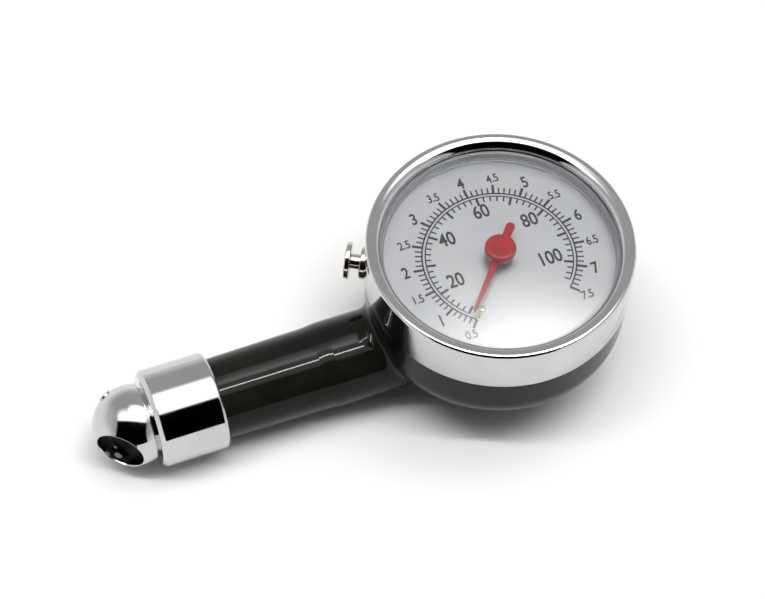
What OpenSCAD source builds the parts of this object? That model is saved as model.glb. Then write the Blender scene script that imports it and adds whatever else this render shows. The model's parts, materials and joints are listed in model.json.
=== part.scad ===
// Dial tyre pressure gauge: a round gauge head, a hollow handle and an angled ball chuck.
// Millimetres. Z runs out of the dial and starts at the flat back of the head.
// X runs along the handle, with the chuck on the negative side. Y points to the dial's top.

/* [Gauge head] */
// Outer diameter of the chromed bezel
bezel_d = 50; // [49.6:0.1:50.4]
// Height of the bezel's crest above the resting plane
bezel_crest_z = 33.33; // [33.2:0.01:33.6]
// Height of the bezel's lower edge
bezel_skirt_z = 23.3; // [22.6:0.1:24]
// Width of the rolled ring, seen from the front
bezel_ring_w = 2.85; // [2.7:0.05:2.9]
// Radius of the ring's outer edge
bezel_edge_r = 0.7; // [0.6:0.05:0.9]
// Radius of the ring's inner flank
bezel_flank_r = 2; // [1.8:0.05:2]
// Thickness of the bezel's sheet
bezel_t = 0.5; // [0.4:0.05:0.6]
// Rise of the lens at its centre, above its rim
lens_rise = 2; // [1.6:0.1:2.4]
// Thickness of the lens
lens_t = 1.4; // [1.2:0.1:1.4]
// Height of the dial's face
dial_z = 27.9; // [27.6:0.1:28]
// Slope of the conical back
back_slope = 40; // [38:1:42]

/* [Handle] */
// Height of the handle's axis above the resting plane
handle_z = 9.35; // [9.35:0.01:9.5]
// Handle radius beside the head
handle_r_root = 8.3; // [8.1:0.05:8.5]
// Handle radius just beyond its step
handle_r_step = 8; // [7.9:0.05:8.1]
// Handle radius at the ferrule
handle_r_end = 7.75; // [7.6:0.05:7.8]
// Distance from the dial's axis to the handle's step
handle_step_x = 35; // [32:0.5:40]
// Distance from the dial's axis to the ferrule
handle_len = 56.1; // [54:0.1:58]
// Radius of the air passage
passage_r = 2; // [1.6:0.1:2.2]

/* [Ferrule and chuck] */
// Outer radius of the ferrule
ferrule_r = 9.35; // [9:0.05:9.35]
// Length of the ferrule
ferrule_len = 13; // [12.6:0.1:13.4]
// Radius of the ball
ball_r = 7.7; // [7.6:0.05:7.8]
// Radius of the valve inlet
inlet_r = 4.6; // [4.5:0.05:4.7]
// Angle of the inlet from the handle's axis
inlet_angle = 48; // [42:1:54]

/* [Pointer] */
// Angle of the pointer at zero pressure, measured from the X axis
pointer_rest = -131.5; // [-133:0.5:-130]
// Turn of the pointer from zero to full scale
pointer_travel = 278; // [270:1:280]
// Reach of the pointer's tip
pointer_reach = 14.3; // [14:0.1:14.8]
// Diameter of the pointer's boss
pointer_boss_d = 5.8; // [5.4:0.1:6.2]

/* [Movement] */
// Gear module
gear_module = 0.3; // [0.3]
// Teeth on the pinion
pinion_teeth = 10; // [10]
// Teeth that the sector would have as a full wheel
sector_teeth = 70; // [70]
// Distance from the sector's pivot to its tail pin
tail_len = 4; // [3.8:0.1:4.2]
// Distance between the link's pins
link_len = 8; // [7.8:0.1:8.2]
// Centre-line radius of the Bourdon tube
tube_r = 14; // [13.8:0.1:14.2]

/* [Bleed valve] */
// Angle of the bleed valve round the head, from the X axis
bleed_angle = 150; // [149:0.5:152]
// Height of the bleed valve's axis
bleed_z = 20; // [19.9:0.05:20.1]
// Diameter of the push button
button_d = 7.1; // [6.5:0.1:7.4]
// Travel of the push button
button_travel = 1.6; // [1.4:0.1:1.6]

/* [Hidden] */
$fn = 96;
eps = 0.01;
fit = 0.05;        // radial gap of parts that screw or drop together
running = 0.03;    // radial gap of a shaft in its bearing

// Gauge head
bezel_r = bezel_d / 2;
ring_inner_r = bezel_r - bezel_ring_w;
lip_z = bezel_crest_z - 1.575;
wall_r = bezel_r - 0.35;
rim_r = bezel_r - bezel_t - fit;
rim_z = 29.9;
shoulder_z = 16.5;
shoulder_r = 8;
shoulder_centre_r = wall_r - shoulder_r;
wall_t = 3.05;
floor_t = 2.5;
bore_r = wall_r - wall_t;
seat_r = 22.4;
dial_t = 0.5;
gasket_t = 0.4;
lens_rim_r = rim_r - fit;
lens_top_z = lip_z - fit;
lens_dome_r = 21.7;

// Handle, ferrule and chuck, measured from the dial's axis towards the chuck
handle_end = handle_len + 1.9;
spigot_r = 6.9;
spigot_end = 65;
valve_bore_r = 3;
valve_bore_start = 57;
ferrule_end = handle_len + ferrule_len;
lip_start = 66.6;
neck_r = 6.2;
flange_r = spigot_r - fit;
ball_x = ferrule_end + 2.9;
ball_cut = 2.3;
seal_t = 2.3;
seal_floor = 0.6;
seal_groove_r = inlet_r + 0.2;
seal_bore_r = 1.7;
plug_head_r = 1.3;
plug_r = 0.95;
plug_rise = 0.25;
core_pin_r = 0.85;
air_hole_r = 1.4;
filter_r = 2.6;

// Pointer and its stop
pointer_z = 29.9;
pointer_top_z = 31.6;
pointer_t = 0.5;
pointer_tip_half_w = 0.36;
pointer_tail = 5.7;
pointer_tail_r = 0.85;
hub_r = 0.9;
stop_r = 0.7;
stop_foot_r = 0.45;
stop_reach = 13.5;
stop_h = 2.9;
stop_angle = pointer_rest + asin((stop_r + pointer_tip_half_w + fit) / stop_reach);

// Movement
pinion_r = gear_module * pinion_teeth / 2;
sector_r = gear_module * sector_teeth / 2;
gear_ratio = pinion_teeth / sector_teeth;
sector_travel = pointer_travel * gear_ratio;
sector_angle = -111;
sector_pivot = (pinion_r + sector_r) * polar(sector_angle);
link_angle = 3;
tail_angle = link_angle - 90 - sector_travel / 2;
tail_pivot = sector_pivot + tail_len * polar(tail_angle);
link_sag = tail_len * (1 - cos(sector_travel / 2));
tip_pivot = tail_pivot + link_len * polar(link_angle) - [0, link_sag / 2];
tip_angle = atan2(tip_pivot[1], tip_pivot[0]);
pin_r = 0.35;
open_hole_r = pin_r + link_sag / 2 + fit;
arbor_r = 0.5;
sector_arbor_r = 0.6;
plate_t = 0.8;
bottom_z = 19;
top_z = 24;
gear_z = 21.2;
gear_t = 0.8;
link_z = 20.3;
link_t = 0.5;
pillars = [[3.5, 4], [-5, 2.4], [-10, -9.5], [6.5, -3.6]];
pillar_r = 1.2;
screw_r = 0.7;
block_x = [-17.6, -8.6];
block_y = 4.5;
block_z = 12.6;
tube_z = 14.7;
tube_w = 3.6;
tube_t = 1.5;
tube_wall = 0.25;
tube_start = 170;
tube_gap = 6;
socket_screw_at = [-16, 2.8];
socket_screw_seat = 17.8;
socket_screw_depth = 2.3;
plate_screws_at = [[-11.6, -3.2], [-9.9, -0.8]];
port_x = -12.6;
port_r = 1.2;
hair_r = 1.02;
hair_growth = 0.72;
hair_turns = 3.5;
hair_band = 0.12;
hair_z = 22.95;

// Bleed valve, measured along its axis from the dial's axis
lug_r = 3.1;
lug_start = 8.6;
lug_end = 19.6;
chamber_r = 2.1;
chamber_start = 10.9;
bush_start = 17;
bush_r = 2.45;
flange_start = 24.75;
flange_end = 25.8;
stem_r = 1.45;
disc_start = flange_end + button_travel + 0.3;
disc_end = disc_start + 1;
valve_start = 15.5;
valve_end = 16.4;

function polar(a) = [cos(a), sin(a)];

// A point on a flat spiral that winds out by "growth" a turn.
function spiral(r, growth, a) = (r + growth * a / 360) * polar(a);

// Places children on the handle's axis, with their Z axis towards the chuck.
module on_handle() {
  translate([0, 0, handle_z]) rotate([0, -90, 0]) children();
}

// Places children on the inlet's axis, with Z pointing out of the ball.
module on_inlet() {
  translate([-ball_x, 0, handle_z]) rotate([0, 0, inlet_angle]) rotate([0, -90, 0]) children();
}

// Places children on the bleed valve's axis, with Z pointing out of the head.
module on_bleed() {
  translate([0, 0, bleed_z]) rotate([0, 0, bleed_angle]) rotate([0, 90, 0]) children();
}

module ring(outer, inner, from, to) {
  translate([0, 0, from]) difference() {
    cylinder(r = outer, h = to - from);
    translate([0, 0, -1]) cylinder(r = inner, h = to - from + 2);
  }
}

module rod(r, from, to) {
  translate([0, 0, from]) cylinder(r = r, h = to - from);
}

// A bar between two points with round ends.
module bar(a, b, r) {
  span = b - a;
  translate(a) circle(r);
  translate(b) circle(r);
  translate(a) rotate(atan2(span[1], span[0])) translate([0, -r]) square([norm(span), 2 * r]);
}

// A disc or rod with a rounded upper edge.
module round_top(r, from, to, edge) {
  translate([0, 0, from]) rotate_extrude() {
    square([r - edge, to - from]);
    square([r, to - from - edge]);
    translate([r - edge, to - from - edge]) intersection() {
      circle(edge, $fn = 32);
      square(edge);
    }
  }
}

// A screw with its head's seat at height z; the thread hangs below.
module pan_screw(z, r, length, slot_angle) {
  difference() {
    union() {
      rod(r, z - length, z + eps);
      round_top(1.9 * r, z, z + 1.1 * r, 0.4 * r);
    }
    rotate(slot_angle) translate([-2 * r, -0.2 * r, z + 0.6 * r]) cube([4 * r, 0.4 * r, r]);
  }
}

// A compression spring of round wire, standing on Z = 0.
module coil_spring(coil_r, wire_r, length, turns) {
  sides = 8;
  steps = 20 * turns;
  rings = [
    for (i = [0:steps])
      let (a = 360 * turns * i / steps, z = wire_r + (length - 2 * wire_r) * i / steps)
        for (k = [0:sides - 1])
          let (r = coil_r + wire_r * cos(360 * k / sides))
            [r * cos(a), r * sin(a), z + wire_r * sin(360 * k / sides)]
  ];
  sides_faces = [
    for (i = [0:steps - 1]) for (k = [0:sides - 1])
      let (n = (k + 1) % sides)
        [i * sides + k, (i + 1) * sides + k, (i + 1) * sides + n, i * sides + n]
  ];
  first = [for (k = [0:sides - 1]) k];
  last = [for (k = [0:sides - 1]) (steps + 1) * sides - 1 - k];
  polyhedron(rings, concat([first], [last], sides_faces), convexity = 6);
}

// One stub gear tooth that points along +X, on a wheel of pitch radius r.
module tooth(r) {
  addendum = 0.8 * gear_module;
  dedendum = 1.25 * gear_module;
  tip = 0.25 * gear_module;
  root = 0.85 * gear_module;
  foot = r - dedendum - 0.1;
  polygon([[foot, -root], [r + addendum, -tip], [r + addendum, tip], [foot, root]]);
}

// The closed outline of the cast shell, grown inwards by "t" from the outside.
module shell_outline(t, low_z) {
  r = shoulder_r - t;
  edge = shoulder_centre_r + r * sin(back_slope);
  edge_z = shoulder_z - r * cos(back_slope);
  low_r = edge - (edge_z - low_z) / tan(back_slope);
  polygon([[0, low_z], [low_r, low_z], [edge, edge_z], [shoulder_centre_r, shoulder_z],
           [0, shoulder_z]]);
  translate([shoulder_centre_r, shoulder_z]) intersection() {
    circle(r);
    translate([0, -r]) square([r, r]);
  }
}

module handle_outline() {
  start = 8;
  ramp = 1.4;
  polygon([[0, start], [handle_r_root, start], [handle_r_root - 0.03, handle_step_x - ramp],
           [handle_r_root - 0.09, handle_step_x - ramp / 2],
           [handle_r_step + 0.06, handle_step_x + ramp / 2],
           [handle_r_step, handle_step_x + ramp], [handle_r_end, handle_len],
           [handle_r_end, handle_end], [0, handle_end]]);
}

module housing() {
  color([0.13, 0.135, 0.12]) difference() {
    union() {
      rotate_extrude() {
        shell_outline(0, 0);
        translate([0, shoulder_z]) square([wall_r, bezel_skirt_z - shoulder_z]);
        translate([0, shoulder_z]) square([rim_r, rim_z - shoulder_z]);
      }
      on_handle() {
        rotate_extrude() handle_outline();
        rod(spigot_r, handle_end - eps, spigot_end);
      }
    }
    difference() {
      rotate_extrude() {
        shell_outline(wall_t, floor_t);
        translate([0, shoulder_z]) square([bore_r, rim_z]);
        translate([0, dial_z - dial_t]) square([seat_r, rim_z]);
      }
      // the boss that carries the tube's socket
      translate([block_x[0] - 6, -block_y - 0.6, 0])
        cube([block_x[1] - block_x[0] + 6.6, 2 * block_y + 1.2, block_z]);
    }
    on_handle() {
      rod(passage_r, 12, valve_bore_start + eps);
      rod(valve_bore_r, valve_bore_start, spigot_end + 1);
    }
    translate([port_x, 0, 0]) {
      rod(port_r, handle_z, block_z + 1);
      rod(2.6, block_z - 0.7, block_z + 1);
    }
    for (side = [-1, 1])
      translate([socket_screw_at[0], side * socket_screw_at[1], 0])
        rod(screw_r, block_z - socket_screw_depth, block_z + 1);
    on_bleed() rod(bush_r + 0.25, 20, wall_r + 2);
  }
}

// The filled outline of the rolled ring, grown inwards by "t", from height "low" up.
module ring_outline(t, low) {
  flank_r = ring_inner_r + bezel_flank_r * sin(70);
  edge_r = bezel_r - bezel_edge_r;
  intersection() {
    union() {
      translate([edge_r, bezel_crest_z - bezel_edge_r]) circle(bezel_edge_r - t);
      translate([flank_r, bezel_crest_z - bezel_flank_r]) circle(bezel_flank_r - t);
      translate([flank_r, low]) square([edge_r - flank_r, bezel_crest_z - t - low]);
      translate([edge_r, low]) square([bezel_edge_r - t, bezel_crest_z - bezel_edge_r - low]);
    }
    translate([ring_inner_r + t, low])
      square([bezel_ring_w - 2 * t, bezel_crest_z - t - low]);
  }
}

module bezel() {
  color([0.83, 0.84, 0.86]) rotate_extrude() {
    difference() {
      ring_outline(0, lip_z);
      ring_outline(bezel_t, lip_z - 1);
    }
    translate([bezel_r - bezel_t, bezel_skirt_z])
      square([bezel_t, lip_z - bezel_skirt_z + eps]);
  }
}

module lens() {
  cap_r = (pow(lens_dome_r, 2) + pow(lens_rise, 2)) / (2 * lens_rise);
  overlap = 1.4;
  color([0.9, 0.95, 1, 0.3]) rotate_extrude() {
    translate([lens_dome_r - overlap, lens_top_z - lens_t])
      square([lens_rim_r - lens_dome_r + overlap, lens_t]);
    intersection() {
      translate([0, lens_top_z - cap_r + lens_rise]) difference() {
        circle(cap_r, $fn = 256);
        circle(cap_r - lens_t, $fn = 256);
      }
      translate([0, lens_top_z - lens_t]) square([lens_dome_r, 10]);
    }
  }
}

module lens_gasket() {
  color([0.1, 0.1, 0.1]) ring(rim_r, seat_r + 0.1, rim_z, rim_z + gasket_t - 0.02);
}

module spacer_ring() {
  color([0.6, 0.6, 0.62]) ring(seat_r - fit, seat_r - 0.7, dial_z, lens_top_z - lens_t - 0.02);
}

module dial_plate() {
  color([0.8, 0.8, 0.82]) difference() {
    rod(seat_r - fit, dial_z - dial_t, dial_z);
    rod(1.3, 0, dial_z + 1);
    rotate(stop_angle) translate([stop_reach, 0, 0]) rod(stop_foot_r, 0, dial_z + 1);
  }
}

module stop_pin() {
  color([0.9, 0.9, 0.92]) rotate(stop_angle) translate([stop_reach, 0, 0]) {
    round_top(stop_r, dial_z, dial_z + stop_h, 0.3);
    rod(stop_foot_r - eps, dial_z - dial_t - 0.3, dial_z + eps);
  }
}

module pointer() {
  root_half_w = 0.62;
  shoulder = pointer_reach - 1.2;
  color([0.75, 0.08, 0.1]) difference() {
    union() {
      rotate(pointer_rest) translate([0, 0, pointer_z]) linear_extrude(pointer_t) {
        polygon([[0, -root_half_w], [shoulder, -pointer_tip_half_w], [pointer_reach, 0],
                 [shoulder, pointer_tip_half_w], [0, root_half_w]]);
        bar([0, 0], [-pointer_tail, 0], pointer_tail_r);
      }
      round_top(pointer_boss_d / 2, pointer_z, pointer_top_z, 0.35);
    }
    rod(hub_r, 0, pointer_top_z - 0.5);
  }
}

module pointer_bush() {
  color([0.8, 0.68, 0.35]) ring(hub_r - eps, arbor_r + eps, pointer_z - 0.5, pointer_top_z - 0.6);
}

module arbor() {
  color([0.7, 0.7, 0.72]) {
    rod(arbor_r, bottom_z + 0.1, pointer_top_z - 0.8);
    ring(0.95, arbor_r - eps, hair_z - 0.15, hair_z + 0.65);
  }
}

module pinion() {
  color([0.8, 0.68, 0.35]) translate([0, 0, gear_z - 0.3]) linear_extrude(gear_t + 0.6)
    difference() {
      union() {
        circle(pinion_r - 1.25 * gear_module);
        for (i = [0:pinion_teeth - 1])
          rotate(sector_angle + 360 * i / pinion_teeth) tooth(pinion_r);
      }
      circle(arbor_r + eps);
    }
}

module hairspring() {
  steps = 84;
  angles = [for (i = [0:steps]) 360 * hair_turns * i / steps];
  outside = [for (a = angles) spiral(hair_r + hair_band / 2, hair_growth, a)];
  inside = [for (i = [steps:-1:0]) spiral(hair_r - hair_band / 2, hair_growth, angles[i])];
  color([0.75, 0.72, 0.55]) translate([0, 0, hair_z]) linear_extrude(0.5)
    polygon(concat(outside, inside));
}

module sector_gear() {
  pitch = 360 / sector_teeth;
  facing = sector_angle + 180;
  first = -10;
  last = 1;
  low = facing + first * pitch;
  high = facing + (last + 1) * pitch;
  body_r = sector_r - 1.25 * gear_module;
  reach = 1.5 * sector_r;
  color([0.8, 0.68, 0.35]) translate([sector_pivot[0], sector_pivot[1], gear_z]) difference() {
    union() {
      linear_extrude(gear_t) {
        difference() {
          intersection() {
            circle(body_r);
            polygon([[0, 0], reach * polar(low), reach * polar((low + high) / 2),
                     reach * polar(high)]);
          }
          intersection() {
            difference() {
              circle(body_r - 1.6);
              circle(3.4);
            }
            polygon([[0, 0], reach * polar(low + 12), reach * polar((low + high) / 2),
                     reach * polar(high - 12)]);
          }
        }
        for (i = [first:last]) rotate(facing + (i + 0.5) * pitch) tooth(sector_r);
        bar([0, 0], tail_len * polar(tail_angle), 1.1);
      }
      rod(1.6, -0.3, 1.4);
    }
    rod(sector_arbor_r + eps, -2, 3);
    translate(tail_len * polar(tail_angle)) rod(pin_r + eps, -2, 3);
  }
}

module sector_arbor() {
  color([0.7, 0.7, 0.72]) translate(sector_pivot)
    rod(sector_arbor_r, bottom_z + 0.1, top_z + plate_t - 0.05);
}

module tail_pin() {
  color([0.7, 0.7, 0.72]) translate(tail_pivot) {
    rod(pin_r, link_z - 0.25, gear_z + gear_t + 0.2);
    rod(0.6, link_z - 0.45, link_z - 0.1);
  }
}

module link() {
  color([0.8, 0.68, 0.35]) translate([0, 0, link_z]) linear_extrude(link_t) difference() {
    bar(tail_pivot, tail_pivot + link_len * polar(link_angle), 1);
    translate(tail_pivot) circle(pin_r + running);
    translate(tail_pivot + link_len * polar(link_angle)) circle(open_hole_r);
  }
}

module tube_section(grow) {
  half = (tube_w - tube_t) / 2;
  for (side = [-1, 1]) translate([0, side * half]) circle(tube_t / 2 + grow);
  square([tube_t + 2 * grow, 2 * half], center = true);
}

module tube_sweep(from, to, grow) {
  rotate([0, 0, to]) rotate_extrude(angle = from - to) translate([tube_r, 0]) tube_section(grow);
}

module bourdon_tube() {
  color([0.8, 0.66, 0.3]) translate([0, 0, tube_z]) difference() {
    tube_sweep(tube_start, tip_angle + tube_gap, 0);
    tube_sweep(tube_start + 3, tip_angle + tube_gap - 3, -tube_wall);
  }
}

module tube_tip() {
  plug_z = tube_z - tube_w / 2;
  eye_r = 1.1;
  color([0.8, 0.68, 0.35]) difference() {
    union() {
      translate([0, 0, tube_z])
        tube_sweep(tip_angle + tube_gap - 0.15, tip_angle - 4, 0.15);
      translate(tip_pivot) rod(eye_r, plug_z, link_z - 0.3);
      translate([0, 0, plug_z]) linear_extrude(tube_w)
        bar(tip_pivot, (tube_r + 0.1) * polar(tip_angle), eye_r);
    }
    translate(tip_pivot) rod(pin_r + eps, link_z - 2, link_z + 1);
  }
}

module tip_pin() {
  color([0.7, 0.7, 0.72]) translate(tip_pivot) rod(pin_r, link_z - 2, link_z + link_t + 0.4);
}

module plate_outline() {
  corners = concat([pillars[0], pillars[1], pillars[2]], [sector_pivot], [pillars[3]]);
  polygon(corners);
  for (i = [0:len(corners) - 1]) bar(corners[i], corners[(i + 1) % len(corners)], 2.2);
  translate(sector_pivot) circle(3);
}

module plate_holes() {
  circle(arbor_r + running);
  translate(sector_pivot) circle(sector_arbor_r + running);
  for (at = pillars) translate(at) circle(screw_r);
}

module bottom_plate() {
  color([0.82, 0.7, 0.38]) translate([0, 0, bottom_z]) linear_extrude(plate_t) difference() {
    union() {
      plate_outline();
      translate([block_x[0], -block_y]) square([-block_x[0] - 4, block_y + 1]);
    }
    plate_holes();
    for (at = plate_screws_at) translate(at) circle(screw_r);
  }
}

module top_plate() {
  stud_r = 0.4;
  color([0.82, 0.7, 0.38]) {
    translate([0, 0, top_z]) linear_extrude(plate_t) difference() {
      plate_outline();
      plate_holes();
    }
    // the stud that holds the hairspring's outer end
    rotate(360 * hair_turns)
      translate([hair_r + hair_growth * hair_turns + hair_band / 2 + fit + stud_r, 0, 0])
        rod(stud_r, hair_z - 0.15, top_z + eps);
  }
}

module plate_pillars() {
  color([0.8, 0.68, 0.35]) for (at = pillars) translate(at)
    ring(pillar_r, screw_r, bottom_z + plate_t, top_z);
}

module pillar_screws() {
  color([0.72, 0.72, 0.74]) for (at = pillars) translate(at)
    pan_screw(top_z + plate_t, screw_r - eps, top_z + plate_t - bottom_z, 30);
}

module plate_screws() {
  color([0.72, 0.72, 0.74]) for (at = plate_screws_at) translate(at)
    pan_screw(bottom_z + plate_t, screw_r - eps, 3.2, 20);
}

module tube_socket() {
  color([0.78, 0.65, 0.33]) difference() {
    union() {
      translate([block_x[0], -block_y, block_z])
        cube([block_x[1] - block_x[0], 2 * block_y, bottom_z - block_z]);
      on_bleed() rod(lug_r, lug_start + 1, lug_end);
      on_bleed() translate([-lug_r, -lug_r, lug_start]) cube([2 * lug_r, 2 * lug_r, 4.4]);
    }
    translate([0, 0, tube_z]) tube_sweep(tube_start + eps, 150, 0.02);
    translate([port_x, 0, 0]) rod(port_r, block_z - 1, block_z + 4.4);
    translate([-tube_r, -1.4, tube_z]) rotate([-90, 0, 0]) rod(0.5, 0, 5);
    on_bleed() rod(chamber_r, chamber_start, lug_end + 1);
    translate([port_x, 0, block_z + 3.9]) rotate([0, 0, 78]) rotate([0, 90, 0]) rod(0.4, 0, 5);
    for (side = [-1, 1])
      translate([socket_screw_at[0], side * socket_screw_at[1], 0]) {
        rod(screw_r + fit, block_z - 1, bottom_z + 1);
        rod(1.45, socket_screw_seat, bottom_z + 1);
      }
    for (at = plate_screws_at) translate(at) rod(screw_r, bottom_z - 2.5, bottom_z + 1);
  }
}

module socket_screws() {
  color([0.72, 0.72, 0.74]) for (side = [-1, 1])
    translate([socket_screw_at[0], side * socket_screw_at[1]])
      pan_screw(socket_screw_seat, screw_r - eps,
                socket_screw_seat - block_z + socket_screw_depth - 0.1, 75);
}

module socket_oring() {
  color([0.1, 0.1, 0.1]) translate([port_x, 0, block_z - 0.36]) rotate_extrude()
    translate([2.1, 0]) circle(0.34, $fn = 32);
}

module ferrule() {
  edge = 0.8;
  chamfer = 0.8;
  lead = ferrule_end - 0.15;
  color([0.83, 0.84, 0.86]) on_handle() rotate_extrude() difference() {
    union() {
      translate([0, handle_len + edge]) square([ferrule_r, ferrule_len - edge - chamfer]);
      translate([0, handle_len]) square([ferrule_r - edge, edge + eps]);
      translate([ferrule_r - edge, handle_len + edge]) circle(edge, $fn = 48);
      polygon([[0, lead - chamfer], [ferrule_r, ferrule_end - chamfer], [ferrule_r - chamfer, lead],
               [ferrule_r - chamfer - 0.15, ferrule_end], [0, ferrule_end]]);
    }
    square([handle_r_end + fit, handle_end]);
    square([spigot_r + fit, lip_start]);
    square([neck_r + fit, ferrule_end + 1]);
  }
}

module chuck_head() {
  band_r = 7.35;
  color([0.83, 0.84, 0.86]) difference() {
    union() {
      intersection() {
        translate([-ball_x, 0, handle_z]) sphere(ball_r);
        on_handle() rod(ball_r + 1, ball_x - ball_cut + 0.8, ball_x + ball_r + 1);
      }
      on_handle() rod(band_r, ball_x - ball_cut, ball_x - ball_cut + 0.9);
      on_handle() rod(neck_r, lip_start - 0.5, ball_x);
      on_handle() rod(flange_r, spigot_end + 0.3, lip_start - fit);
    }
    on_inlet() {
      rod(inlet_r, seal_floor + seal_t, ball_r + 1);
      rod(seal_groove_r, seal_floor, seal_floor + seal_t);
      rod(2.3, -0.3, seal_floor + eps);
      rod(1, -2, 0);
    }
    on_handle() {
      rod(air_hole_r, spigot_end, ball_x + 0.6);
      rod(filter_r, spigot_end, spigot_end + 1.3);
    }
    on_plug() rod(plug_r, ball_r - 2.2, ball_r + 1);
  }
}

// Places children on the cross drilling's axis, with Z pointing out of the ball.
module on_plug() {
  translate([-ball_x, 0, handle_z]) rotate([0, 0, 122]) rotate([0, 61, 0]) children();
}

module head_gasket() {
  color([0.12, 0.12, 0.12]) on_handle()
    ring(spigot_r - 0.3, valve_bore_r + 0.2, spigot_end + eps, spigot_end + 0.3 - eps);
}

module chuck_seal() {
  color([0.08, 0.08, 0.08]) on_inlet() difference() {
    rod(seal_groove_r - 0.03, seal_floor + 0.02, seal_floor + seal_t - 0.02);
    rod(seal_bore_r, 0, 5);
    translate([0, 0, seal_floor + 0.9]) cylinder(r1 = seal_bore_r, r2 = 3.1, h = seal_t);
  }
}

module depressor_pin() {
  color([0.75, 0.75, 0.77]) on_inlet() difference() {
    union() {
      rod(2.25, -0.28, seal_floor);
      round_top(core_pin_r, seal_floor - 0.2, seal_floor + seal_t - 0.05, 0.4);
    }
    for (i = [0:2]) rotate(120 * i) translate([1.45, 0, 0]) rod(0.4, -2, 2);
  }
}

module chuck_plug() {
  color([0.83, 0.84, 0.86]) on_plug() {
    rod(plug_r - eps, ball_r - 2.1, ball_r);
    round_top(plug_head_r, ball_r - 0.05, ball_r + plug_rise, 0.2);
  }
}

module inlet_filter() {
  color([0.75, 0.62, 0.35]) on_handle() ring(filter_r - eps, 0.3, spigot_end + 0.4, spigot_end + 1.28);
}

module check_valve_seat() {
  seat_bore_r = 1.3;
  color([0.8, 0.68, 0.35]) on_handle() difference() {
    ring(valve_bore_r - eps, seat_bore_r, spigot_end - 1.6, spigot_end);
    translate([0, 0, spigot_end - 1.6 - eps]) cylinder(r1 = 1.9, r2 = seat_bore_r, h = 0.6);
  }
}

module check_valve_poppet() {
  color([0.15, 0.15, 0.15]) on_handle() {
    rod(2.3, spigot_end - 2.8, spigot_end - 1.65);
    rod(0.9, spigot_end - 4.6, spigot_end - 2.7);
  }
}

module check_valve_spring() {
  color([0.7, 0.7, 0.72]) on_handle() translate([0, 0, valve_bore_start + 0.02])
    coil_spring(2.45, 0.2, spigot_end - 2.84 - valve_bore_start, 5);
}

module bleed_bush() {
  color([0.82, 0.8, 0.74]) on_bleed() difference() {
    union() {
      rod(chamber_r - eps, bush_start, lug_end + eps);
      rod(bush_r, lug_end, flange_start + eps);
      round_top(lug_r, flange_start, flange_end, 0.2);
    }
    rod(stem_r + fit, bush_start - 1, flange_end + 1);
  }
}

module bleed_button() {
  color([0.82, 0.8, 0.74]) on_bleed() {
    rod(stem_r, valve_end - 0.4, disc_start + eps);
    round_top(button_d / 2, disc_start, disc_end, 0.3);
  }
}

module bleed_valve_disc() {
  color([0.8, 0.68, 0.35]) on_bleed() difference() {
    rod(1.9, valve_start, valve_end);
    rod(stem_r + eps, valve_end - 0.4, valve_end + 1);
  }
}

module bleed_seal() {
  color([0.1, 0.1, 0.1]) on_bleed() ring(1.95, stem_r + eps, valve_end + 0.01, bush_start - 0.03);
}

module bleed_spring() {
  color([0.7, 0.7, 0.72]) on_bleed() translate([0, 0, chamber_start + 0.02])
    coil_spring(1.55, 0.15, valve_start - chamber_start - 0.04, 5);
}

housing();
bezel();
lens();
lens_gasket();
spacer_ring();
dial_plate();
stop_pin();
pointer();
pointer_bush();
arbor();
pinion();
hairspring();
sector_gear();
sector_arbor();
tail_pin();
link();
tube_tip();
tip_pin();
bourdon_tube();
bottom_plate();
top_plate();
plate_pillars();
pillar_screws();
plate_screws();
tube_socket();
socket_screws();
socket_oring();
ferrule();
chuck_head();
head_gasket();
chuck_seal();
depressor_pin();
chuck_plug();
inlet_filter();
check_valve_seat();
check_valve_poppet();
check_valve_spring();
bleed_bush();
bleed_button();
bleed_valve_disc();
bleed_seal();
bleed_spring();
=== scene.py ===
"""Looks of the dial tyre pressure gauge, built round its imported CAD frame.

Lengths in the helpers are millimetres; make_piece turns them into metres.
"""
import json
import math

import bmesh
import bpy
from mathutils import Matrix, Quaternion, Vector


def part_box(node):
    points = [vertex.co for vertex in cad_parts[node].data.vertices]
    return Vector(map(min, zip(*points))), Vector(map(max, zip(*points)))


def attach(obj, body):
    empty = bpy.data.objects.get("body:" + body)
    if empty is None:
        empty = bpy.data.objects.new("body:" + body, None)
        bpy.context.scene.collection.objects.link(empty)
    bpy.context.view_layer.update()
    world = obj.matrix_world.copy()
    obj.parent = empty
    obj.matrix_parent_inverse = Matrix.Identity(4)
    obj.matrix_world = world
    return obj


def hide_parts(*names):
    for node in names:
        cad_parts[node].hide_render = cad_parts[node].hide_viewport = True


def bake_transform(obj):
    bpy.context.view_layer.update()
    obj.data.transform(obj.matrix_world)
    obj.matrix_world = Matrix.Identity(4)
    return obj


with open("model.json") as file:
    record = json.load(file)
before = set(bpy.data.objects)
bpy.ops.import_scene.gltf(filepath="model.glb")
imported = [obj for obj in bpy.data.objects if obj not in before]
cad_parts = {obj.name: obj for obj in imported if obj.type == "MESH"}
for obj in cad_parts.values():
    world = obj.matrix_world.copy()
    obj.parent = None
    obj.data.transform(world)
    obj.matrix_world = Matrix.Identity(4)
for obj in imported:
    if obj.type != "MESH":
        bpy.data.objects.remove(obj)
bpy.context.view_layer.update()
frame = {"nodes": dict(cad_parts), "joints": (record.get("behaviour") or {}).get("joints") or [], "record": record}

MM = 0.001
TURN = 2 * math.pi


# ---------------------------------------------------------------- sizes, all from the frame

def box(node):
    """Lowest and highest corner of a CAD node, in millimetres."""
    low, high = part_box(node)
    return low / MM, high / MM


def middle(node):
    low, high = box(node)
    return (low + high) / 2


def mount(name):
    return next(m for m in frame["record"]["mounts"] if m["name"] == name)


def joint(name):
    return next(j for j in frame["joints"] if j["name"] == name)


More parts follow.
